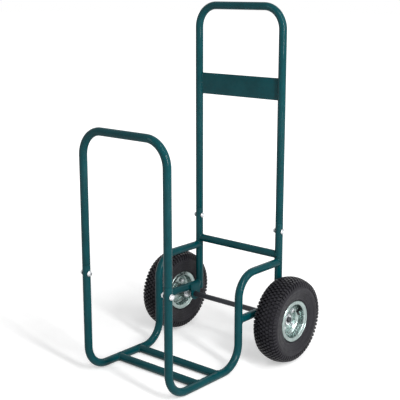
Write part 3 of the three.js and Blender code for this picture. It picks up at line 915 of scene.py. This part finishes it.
def build_axle_bracket(side, tubes):
    """Plate welded inside the strut, rounded below round the axle's hole."""
    low, high, middle = box_of(f"{side}_axle_bracket")
    foot, top, half = AXLE_MIDDLE.z - low.z, high.z - AXLE_MIDDLE.z, (high.y - low.y) / 2
    bore, edge, square, steps, count = 0.0083, 0.0008, 0.004, 26, 72
    lean = math.atan2(half - foot, top)
    outline = [(-half, top), (-half, top - square)]
    for k in range(steps + 1):
        turn = math.pi - lean + (math.pi + 2 * lean) * k / steps
        outline.append((foot * math.cos(turn), foot * math.sin(turn)))
    outline += [(half, top - square), (half, top)]
    outline = even_by_angle(outline, count)
    hole = circle(bore, count)
    rings = []
    for x, section, share in (
        (low.x, outline, 1 - edge / foot), (low.x + edge, outline, 1), (high.x - edge, outline, 1),
        (high.x, outline, 1 - edge / foot), (high.x, hole, 1), (low.x, hole, 1),
    ):
        rings.append([Vector((x, middle.y + a * share, AXLE_MIDDLE.z + b * share)) for a, b in section])
    shape = shell(rings, True)
    way, reach = SIDES[side], half - square
    face = high.x if way > 0 else low.x
    for out, z, up in (
        (0.0022, STRUT_HEIGHT - 0.0085, (-way * 0.3, 0, -1)), (0.0012, high.z - 0.0006, (-way * 0.4, 0, 1)),
    ):
        start, end = (Vector((face + way * out, middle.y + y, z)) for y in (-reach, reach))
        shape.merge(straight_weld(start, end, tubes.weld * 1.1, Vector(up)))
    add_side_piece(side, "axle_bracket", shape, "green_paint")


def build_post_plug(side):
    """Plastic cap in the lower end of a rear post, domed below."""
    low, high, middle = box_of(f"{side}_post_plug")
    flange, height = POST_LOW.z - low.z - 0.0003, high.z - low.z
    outline = rounded([
        (0.0, 0.0, 0), (0.0, TUBE_SIZE, 0.0018), (flange, TUBE_SIZE, 0.0004), (flange, TUBE_SIZE - 0.0018, 0),
        (height, TUBE_SIZE - 0.0020, 0.0008), (height, 0.0, 0),
    ])
    upright = placed((middle.x, middle.y, low.z), -math.pi / 2, "Y")
    add_side_piece(side, "post_plug", lathe(outline, 40).moved(upright), "black_plastic")


# ---------------------------------------------------------------- joint fasteners and axle


def build_joint(side, place):
    """Flanged bolt with its head on the right and flanged nut on the left of a tube."""
    bolt_low, bolt_high, middle = box_of(f"{side}_{place}_joint_bolt")
    nut_low, nut_high, _ = box_of(f"{side}_{place}_joint_nut")
    head_seat = 2 * SIDES[side] * SIDE_X - nut_high.x
    flange, flats, bore = 0.0080, 0.0064, BOLT_SHANK + 0.0003
    bolt = lathe(rounded([
        (0.0, 0.0, 0), (0.0, flange, 0.0004), (0.0013, flange, 0.0006), (0.0022, flats, 0), (0.0022, 0.0, 0),
    ]), 48)
    head = hex_prism(flats, bolt_high.x - head_seat - 0.0018, dome=0.0003)
    bolt.merge(head.moved(placed((0.0015, 0, 0))))
    bolt.merge(threaded(BOLT_SHANK, bolt_low.x - head_seat, 0.0008))
    nut = lathe(ring_outline(bore, flange, -0.0016, 0.0, 0.0005), 36)
    hexagon = hex_prism(flats, nut_high.x - nut_low.x - 0.0012, bore=bore)
    nut.merge(hexagon.moved(placed((-0.0012, 0, 0), math.pi, "Y")))
    for what, shape, seat, turn in (("bolt", bolt, head_seat, 17), ("nut", nut, nut_high.x, 41)):
        set_at = placed((seat, middle.y, middle.z), math.radians(turn))
        add_side_piece(side, f"{place}_joint_{what}", shape.moved(set_at), "zinc_fasteners")


def build_axle():
    """Round rod with chamfered ends and a cross hole for each split pin."""
    end, chamfer = AXLE_HIGH.x, 0.0011
    half = [(end - chamfer, AXLE_RADIUS), (end, AXLE_RADIUS - chamfer), (end, 0.0)]
    outline = [(-x, radius) for x, radius in reversed(half)] + half
    rod = lathe(outline, 64).moved(Matrix.Translation(AXLE_MIDDLE))
    piece = add_piece("axle_rod", rod, "dark_axle", ["axle"])
    for side in SIDES:
        pin = (box_of(f"{side}_split_pin")[2].x, AXLE_MIDDLE.y, AXLE_MIDDLE.z)
        cut_away(piece, plain_rod(0.0017, -0.02, 0.02, 24).moved(placed(pin, math.pi / 2, "Y")))


def build_axle_ring(side, what, chamfer, segments):
    """Sleeve or washer round the axle."""
    low, high, middle = box_of(f"{side}_{what}")
    outline = ring_outline(AXLE_RING_BORE, high.z - middle.z, low.x, high.x, chamfer)
    shape = lathe(outline, segments).moved(placed((0, middle.y, middle.z)))
    add_side_piece(side, what, shape, "zinc_fasteners")


def build_split_pin(side):
    """One wire: an eye above the axle, two legs through it and spread tips below."""
    low, high, middle = box_of(f"{side}_split_pin")
    wire, gap = (high.x - low.x) / 2, 0.001
    leg = wire + 0.00005
    above, below = AXLE_MIDDLE.z + AXLE_RADIUS + gap, AXLE_MIDDLE.z - AXLE_RADIUS - gap
    eye = (high.z - wire - above) / 2
    tip = below - low.z - wire
    line = [(leg + tip * 0.9, below - tip), (leg, below), (leg, above)]
    for k in range(17):
        turn = math.radians(-62 + 304 * k / 16)
        line.append((eye * math.cos(turn), above + eye + eye * math.sin(turn)))
    line += [(-leg, above), (-leg, below), (-leg - tip * 0.9, below - tip)]
    points = [Vector((middle.x, AXLE_MIDDLE.y + a, z)) for a, z in line]
    stations = [
        (point, (after - before).normalized())
        for before, point, after in zip([points[0], *points], points, [*points[1:], points[-1]])
    ]
    shape = skin(rings_along(stations, X_AXIS, [wire] * len(stations), 12))
    add_side_piece(side, "split_pin", shape, "zinc_fasteners", SOFT_ANGLE)


# ---------------------------------------------------------------- wheels

# A wheel is built round the X axis with its outer side at +X, then turned and set on its axle.


def wheel_place(side):
    place = (box_of(f"{side}_tyre")[2].x, AXLE_MIDDLE.y, AXLE_MIDDLE.z)
    return placed(place, 0.0 if side == "right" else math.pi, "Z")


def knob_rows():
    """The middle of each row of knobs and its step round the wheel as a share of the pitch, in order."""
    return [(k * KNOB_ROW_PITCH, 0.5 * (k % 2)) for k in range(-KNOB_ROWS, KNOB_ROWS + 1)]


def tread_radius(across):
    """Radius of the knobs' tops at a distance across the tread."""
    return WHEEL_RADIUS - TREAD_CROWN * across * across


def tyre_outline(wheels):
    """The tyre's section as (across, radius, knob), from one bead over the tread to the other. knob gives the
    row's step round the wheel and the rise of its knobs as (across, radius), or is None between the rows."""
    rise, wall = wheels.knob_height, 0.0005
    tread = []
    for middle, shift in knob_rows():
        knob = (shift, (0.0, rise))
        for edge, row in (
            (-KNOB_HALF_WIDTH - wall, None), (-KNOB_HALF_WIDTH, knob),
            (KNOB_HALF_WIDTH, knob), (KNOB_HALF_WIDTH + wall, None),
        ):
            across = middle + edge
            tread.append((across, tread_radius(across) - rise, row))
    edge_across, edge_radius, _ = tread[-1]
    outer_shift = knob_rows()[-1][1]
    shoulder = [(edge_across + a, edge_radius - b, lug and (outer_shift, lug)) for a, b, lug in SHOULDER]
    last_across, last_radius, _ = shoulder[-1]
    bead_outer = RIM_HALF_WIDTH - wheels.rim_thickness - 0.0003
    foot = BEAD_RADIUS + 0.0004
    side = rounded(
        [
            (last_across + 0.0003, last_radius - 0.0010, 0), (HALF_WIDTH, WHEEL_RADIUS - 0.0290, 0.008),
            (HALF_WIDTH - 0.0035, WHEEL_RADIUS - 0.0460, 0.030),
            (RIM_HALF_WIDTH + 0.0016, FLANGE_RADIUS + 0.0034, 0.0028),
            (bead_outer, FLANGE_RADIUS + 0.0006, 0.0008), (bead_outer, foot, 0.0018),
            (bead_outer - 0.0075, foot, 0.001),
        ],
        steps=6,
    )
    chamber = [(HALF_WIDTH - 0.0065, WHEEL_RADIUS - 0.039), (0.014, WHEEL_RADIUS - 0.011)]
    half = shoulder + [(a, r, None) for a, r in [*with_sidewall_rings(side), *chamber]]
    mirrored = [(-a, r, knob and (knob[0], (-knob[1][0], knob[1][1]))) for a, r, knob in reversed(half)]
    return mirrored + tread + half


def with_sidewall_rings(side):
    """Adds the fine moulded rings of the sidewall to its line."""
    made, width, height = [], 0.0007, 0.0005
    for a, b in zip(side, side[1:]):
        made.append(a)
        if (b - a).length > 0.006 and a.y > FLANGE_RADIUS + 0.008 and a.x > RIM_HALF_WIDTH + 0.002:
            along = (b - a).normalized()
            rise = Vector((-along.y, along.x)) * height
            middle, foot, top = (a + b) / 2, along * width, along * width * 0.5
            made += [middle - foot, middle - top + rise, middle + top + rise, middle + foot]
    made.append(side[-1])
    return made


def build_tyre(side, wheels):
    """Casing with staggered rows of knobs, moulded sidewall rings and two beads."""
    outline = tyre_outline(wheels)
    marks = sorted({
        round((shift + edge) % 1.0, 6) for shift in (0.0, 0.5)
        for edge in (-KNOB_SHARE - KNOB_SLOPE, -KNOB_SHARE, KNOB_SHARE, KNOB_SHARE + KNOB_SLOPE)
    })
    points = []
    for lug in range(wheels.lugs):
        for mark in marks:
            turn = 2 * math.pi * (lug + mark) / wheels.lugs
            for across, radius, knob in outline:
                if knob and abs((mark - knob[0] + 0.5) % 1.0 - 0.5) <= KNOB_SHARE + 1e-4:
                    across, radius = across + knob[1][0], radius + knob[1][1]
                points.append(round_x(across, radius, turn))
    shape = Shape().add(points, grid_faces(len(marks) * wheels.lugs, len(outline), True, True))
    add_side_piece(side, "tyre", shape.moved(wheel_place(side)), "tyre_rubber", 38.0)


def rim_line(wheels):
    """The middle of a pressed rim half, from its hub hole to its curled flange, as (along, radius)."""
    middle = wheels.rim_thickness / 2
    disc, seat, flange = DISC_GAP + middle, BEAD_RADIUS - middle - 0.0001, RIM_HALF_WIDTH - middle
    return rounded([
        (disc, HUB_RADIUS + 0.0004, 0), (disc, 0.0236, 0.0015), (disc + DISC_STEP, 0.0252, 0.0015),
        (disc + DISC_STEP, 0.0372, 0.0018), (disc, 0.0392, 0.0018), (disc + 0.0002, 0.0418, 0.0025),
        (0.0062, 0.0452, 0.0030), (0.0080, 0.0476, 0.0024), (0.0150, seat, 0.0035), (flange, seat, 0.0026),
        (flange, FLANGE_RADIUS - 0.0024, 0.0012), (flange + 0.0012, FLANGE_RADIUS - 0.0010, 0),
    ])


def build_rims(side, wheels):
    """Two pressed halves: the outer with its bolts and the hole for the valve, the inner with the nuts."""
    place = wheel_place(side)
    outer = lathe(sheet_outline(rim_line(wheels), wheels.rim_thickness), 128)
    inner = outer.moved(Matrix.Diagonal((-1, 1, 1, 1)))
    face, flats = DISC_GAP + wheels.rim_thickness, 0.0062
    seat = face + DISC_STEP
    bolts, nuts = Shape(), Shape()
    for k in range(wheels.rim_bolts):
        turn = 2 * math.pi * (k + 0.5) / wheels.rim_bolts
        stand = Matrix.Rotation(turn, 4, "X") @ placed((0, 0, wheels.rim_bolt_circle))
        bolt = hex_prism(flats, 0.0050, dome=0.0002).moved(placed((seat, 0, 0)))
        bolt.merge(lathe(ring_outline(0.0041, 0.0079, seat - 0.0001, seat + 0.0009, 0.0003), 36))
        bolt.merge(threaded(BOLT_SHANK, -face - 0.0095, 0.002))
        bolts.merge(bolt.moved(stand))
        nut = hex_prism(flats, 0.0058, bore=0.0042).moved(placed((-seat, 0, 0), math.pi, "Y"))
        nuts.merge(nut.moved(stand))
    rim = add_side_piece(side, "outer_rim", outer.moved(place), "rim_zinc")
    cut_away(rim, plain_rod(0.0032, -0.006, 0.02, 28).moved(place @ valve_place()))
    add_piece(f"rim_bolts_{side}", bolts.moved(place), "zinc_fasteners", [f"{side}_outer_rim"])
    add_side_piece(side, "inner_rim", inner.moved(place), "rim_zinc")
    add_piece(f"rim_nuts_{side}", nuts.moved(place), "zinc_fasteners", [f"{side}_inner_rim"])


def valve_place():
    """From the valve's own line, along +X from its root, to the wheel's."""
    root = placed((0.0025, 0, BEAD_RADIUS - 0.0016), VALVE_SLOPE, "Y")
    return Matrix.Rotation(-VALVE_TURN, 4, "X") @ root


def build_valve(side):
    """Rubber stem out of the rim's wall, with a fluted cap."""
    place = wheel_place(side) @ valve_place()
    stem = lathe(rounded([
        (0.0006, 0.0, 0), (0.0006, 0.0030, 0.0003), (0.0034, 0.0030, 0.0006), (0.0042, 0.0044, 0.0006),
        (0.0060, 0.0040, 0.0010), (0.0146, 0.0028, 0.0006), (0.0146, 0.0, 0),
    ], steps=4), 32)
    add_side_piece(side, "valve_stem", stem.moved(place), "tube_rubber")
    cap = lathe(rounded([
        (0.0150, 0.0, 0), (0.0150, 0.0037, 0.0004), (0.0228, 0.0037, 0.0002),
        (0.0240, 0.0026, 0.0006), (0.0240, 0.0, 0),
    ], steps=4), 72)
    for point in cap.points:
        if math.hypot(point.y, point.z) > 0.0031 and point.x < 0.0232:
            flute = 1 - 0.055 * max(0.0, math.cos(18 * math.atan2(point.y, point.z)))
            point.y *= flute
            point.z *= flute
    add_side_piece(side, "valve_cap", cap.moved(place), "black_plastic", 50.0)


def build_hub(side):
    """Hub tube with chamfered ends and the weld that ties it to the rim's disc."""
    shape = lathe(ring_outline(0.0178, HUB_RADIUS, HUB_INNER, HUB_OUTER, 0.0006), 72)
    loop = [round_x(-0.0027, HUB_RADIUS, turn) for turn in even_turns(150)]
    shape.merge(bead(loop, 0.0020, True, lambda p: Vector((-1, p.y / HUB_RADIUS, p.z / HUB_RADIUS))))
    add_side_piece(side, "hub", shape.moved(wheel_place(side)), "rim_zinc")


def build_bearing(side, end, wheels):
    """Ball bearing with its shield: outer ring, balls in a cage, and the inner ring on the axle."""
    place = wheel_place(side)
    width, sunk, outer_radius, outer_bore, inner_radius = 0.011, 0.0010, 0.0171, 0.0156, 0.0099
    pitch, ball, ring_chamfer, thin_chamfer = 0.01263, 0.0023, 0.0005, 0.0002
    start = HUB_INNER if end == "inner" else HUB_OUTER - width
    middle, stop = start + width / 2, start + width
    cover = start + sunk if end == "inner" else stop - sunk
    outer = lathe(ring_outline(outer_bore, outer_radius, start, stop, ring_chamfer), 64)
    shield = (inner_radius + 0.0006, outer_bore + 0.0004, cover - 0.0003, cover + 0.0003)
    outer.merge(lathe(ring_outline(*shield, thin_chamfer), 64))
    inner = lathe(ring_outline(0.0084, inner_radius, start, stop, ring_chamfer), 56)
    cage = (pitch - 0.0006, pitch + 0.0006, middle - 0.0008, middle + 0.0008)
    balls = lathe(ring_outline(*cage, thin_chamfer), 54)
    arc = [(-ball * math.cos(math.pi * i / 10), ball * math.sin(math.pi * i / 10)) for i in range(11)]
    for turn in even_turns(wheels.balls):
        balls.merge(lathe(arc, 18).moved(placed(round_x(middle, pitch, turn))))
    for what, shape, sharp in (
        ("outer_ring", outer, SHARP_ANGLE), ("balls", balls, SOFT_ANGLE), ("inner_ring", inner, SHARP_ANGLE),
    ):
        add_side_piece(side, f"{end}_bearing_{what}", shape.moved(place), "bearing_steel", sharp)


def dress_inner_tubes():
    """The inner tubes keep their own mesh and take their rubber."""
    for side in SIDES:
        node = frame["nodes"][f"{side}_inner_tube"]
        node.data.materials.clear()
        node.data.materials.append(finishes()["tube_rubber"])


# ---------------------------------------------------------------- stage


def build_lamps(level):
    """Soft lamps that aim at the middle of the cart."""
    middle = (CAD_BOX[0] + CAD_BOX[1]) / 2
    for name, place, width, height, power in LAMPS:
        lamp = bpy.data.lights.new(name, "AREA")
        lamp.shape, lamp.size, lamp.size_y, lamp.energy = "RECTANGLE", width, height, power * level
        holder = put(name, lamp)
        holder.location = place
        holder.rotation_euler = (middle - Vector(place)).to_track_quat("-Z", "Y").to_euler()


def build_floor(look):
    """A wide pale floor just under the cart."""
    mesh = bpy.data.meshes.new("studio_floor")
    corners = [(x * FLOOR_HALF, y * FLOOR_HALF, -FLOOR_DROP) for x, y in ((-1, -1), (1, -1), (1, 1), (-1, 1))]
    mesh.from_pydata(corners, [], [(0, 1, 2, 3)])
    mesh.materials.append(pale_floor(look))
    floor = put("studio_floor", mesh)


def build_sky(stage):
    """Even light from all round, white where the camera or a mirror sees it."""
    world = bpy.data.worlds.new("studio")
    world.use_nodes = True
    bpy.context.scene.world = world
    tree = world.node_tree
    background = tree.nodes["Background"]
    background.inputs["Color"].default_value = (1.0, 1.0, 1.0, 1.0)
    level = tree.nodes.new("ShaderNodeMapRange")
    level.inputs["To Min"].default_value = stage.sky_level
    level.inputs["To Max"].default_value = 1.0
    tree.links.new(shown_white(tree), level.inputs["Value"])
    tree.links.new(level.outputs["Result"], background.inputs["Strength"])


def build_camera(stage):
    """The camera where the photograph was taken from."""
    camera = bpy.data.cameras.new("photo_view")
    camera.sensor_width = 36.0
    camera.lens = stage.focal_length
    holder = put("photo_view", camera)
    holder.location = stage.camera_place
    holder.rotation_euler = (math.pi / 2 - stage.pitch, 0.0, stage.yaw)
    bpy.context.scene.camera = holder


# ---------------------------------------------------------------- operators


class LOGCART_OT_side_tubes(bpy.types.Operator):
    """Bend the two side tubes"""

    bl_idname = "logcart.side_tubes"
    bl_label = "Side Tubes"

    def execute(self, context):
        for side in SIDES:
            build_side_tube(side, context.scene.log_cart_tubes)
        return {"FINISHED"}


class LOGCART_OT_posts_and_struts(bpy.types.Operator):
    """Cut and weld the rear posts, struts and cross tubes"""

    bl_idname = "logcart.posts_and_struts"
    bl_label = "Posts, Struts and Cross Tubes"

    def execute(self, context):
        tubes = context.scene.log_cart_tubes
        for side in SIDES:
            build_rear_post(side, tubes)
            build_strut(side, tubes)
        build_cross_tube("front_floor_cross_tube", Y_AXIS, tubes)
        build_cross_tube("rear_floor_cross_tube", Y_AXIS, tubes)
        build_cross_tube("rear_cross_tube", Z_AXIS, tubes)
        return {"FINISHED"}


class LOGCART_OT_loops(bpy.types.Operator):
    """Bend the front loop and the handle loop, with the plate between the handle's legs"""

    bl_idname = "logcart.loops"
    bl_label = "Loops"

    def execute(self, context):
        tubes = context.scene.log_cart_tubes
        build_loop("front_loop", SIDE_HIGH.z, tubes.front_corner, tubes)
        build_loop("handle_loop", POST_HIGH.z, tubes.handle_corner, tubes)
        build_handle_plate(tubes)
        return {"FINISHED"}


class LOGCART_OT_brackets_and_plugs(bpy.types.Operator):
    """Make the axle brackets and the plugs of the rear posts"""

    bl_idname = "logcart.brackets_and_plugs"
    bl_label = "Brackets and Plugs"

    def execute(self, context):
        for side in SIDES:
            build_axle_bracket(side, context.scene.log_cart_tubes)
            build_post_plug(side)
        return {"FINISHED"}


class LOGCART_OT_joint_fasteners(bpy.types.Operator):
    """Set the bolts and nuts of the four plug-in joints"""

    bl_idname = "logcart.joint_fasteners"
    bl_label = "Joint Fasteners"

    def execute(self, context):
        for side in SIDES:
            for place in ("front", "rear"):
                build_joint(side, place)
        return {"FINISHED"}


class LOGCART_OT_axle(bpy.types.Operator):
    """Make the axle with its sleeves, washers and split pins"""

    bl_idname = "logcart.axle"
    bl_label = "Axle"

    def execute(self, context):
        build_axle()
        for side in SIDES:
            build_axle_ring(side, "axle_sleeve", 0.0004, 48)
            build_axle_ring(side, "axle_washer", 0.0005, 56)
            build_split_pin(side)
        return {"FINISHED"}


class LOGCART_OT_tyres(bpy.types.Operator):
    """Mould the tyres and colour the inner tubes"""

    bl_idname = "logcart.tyres"
    bl_label = "Tyres"

    def execute(self, context):
        for side in SIDES:
            build_tyre(side, context.scene.log_cart_wheels)
        dress_inner_tubes()
        return {"FINISHED"}


class LOGCART_OT_rims(bpy.types.Operator):
    """Press the rims, bolt their halves together and fit the valves"""

    bl_idname = "logcart.rims"
    bl_label = "Rims and Valves"

    def execute(self, context):
        for side in SIDES:
            build_rims(side, context.scene.log_cart_wheels)
            build_valve(side)
        return {"FINISHED"}


class LOGCART_OT_hubs(bpy.types.Operator):
    """Make the hubs and their ball bearings"""

    bl_idname = "logcart.hubs"
    bl_label = "Hubs and Bearings"

    def execute(self, context):
        for side in SIDES:
            build_hub(side)
            for end in ("inner", "outer"):
                build_bearing(side, end, context.scene.log_cart_wheels)
        return {"FINISHED"}


class LOGCART_OT_stage(bpy.types.Operator):
    """Set the floor, the sky, the lamps and the camera"""

    bl_idname = "logcart.stage"
    bl_label = "Stage"

    def execute(self, context):
        stage = context.scene.log_cart_stage
        build_floor(context.scene.log_cart_finishes)
        build_sky(stage)
        build_camera(stage)
        build_lamps(stage.lamp_level)
        context.scene.view_settings.view_transform = "Standard"
        return {"FINISHED"}


OPERATORS = (
    LOGCART_OT_side_tubes, LOGCART_OT_posts_and_struts, LOGCART_OT_loops, LOGCART_OT_brackets_and_plugs,
    LOGCART_OT_joint_fasteners, LOGCART_OT_axle, LOGCART_OT_tyres, LOGCART_OT_rims, LOGCART_OT_hubs,
    LOGCART_OT_stage,
)
GROUPS = {
    "log_cart_tubes": LogCartTubes, "log_cart_wheels": LogCartWheels,
    "log_cart_finishes": LogCartFinishes, "log_cart_stage": LogCartStage,
}


class LOGCART_PT_build(bpy.types.Panel):
    """Lists the pieces of the log cart"""

    bl_label = "Log Cart"
    bl_idname = "LOGCART_PT_build"
    bl_space_type = "VIEW_3D"
    bl_region_type = "UI"
    bl_category = "Log Cart"

    def draw(self, context):
        for operator in OPERATORS:
            self.layout.operator(operator.bl_idname)
        for group, kind in GROUPS.items():
            block = self.layout.box()
            block.label(text=kind.__name__)
            for name in kind.__annotations__:
                block.prop(getattr(context.scene, group), name)


def register():
    for group, kind in GROUPS.items():
        bpy.utils.register_class(kind)
        setattr(bpy.types.Scene, group, bpy.props.PointerProperty(type=kind))
    for kind in (*OPERATORS, LOGCART_PT_build):
        bpy.utils.register_class(kind)


def unregister():
    for kind in (LOGCART_PT_build, *reversed(OPERATORS)):
        bpy.utils.unregister_class(kind)
    for group, kind in GROUPS.items():
        delattr(bpy.types.Scene, group)
        bpy.utils.unregister_class(kind)


def main():
    register()
    for operator in OPERATORS:
        family, action = operator.bl_idname.split(".")
        getattr(getattr(bpy.ops, family), action)()


if __name__ == "__main__":
    main()
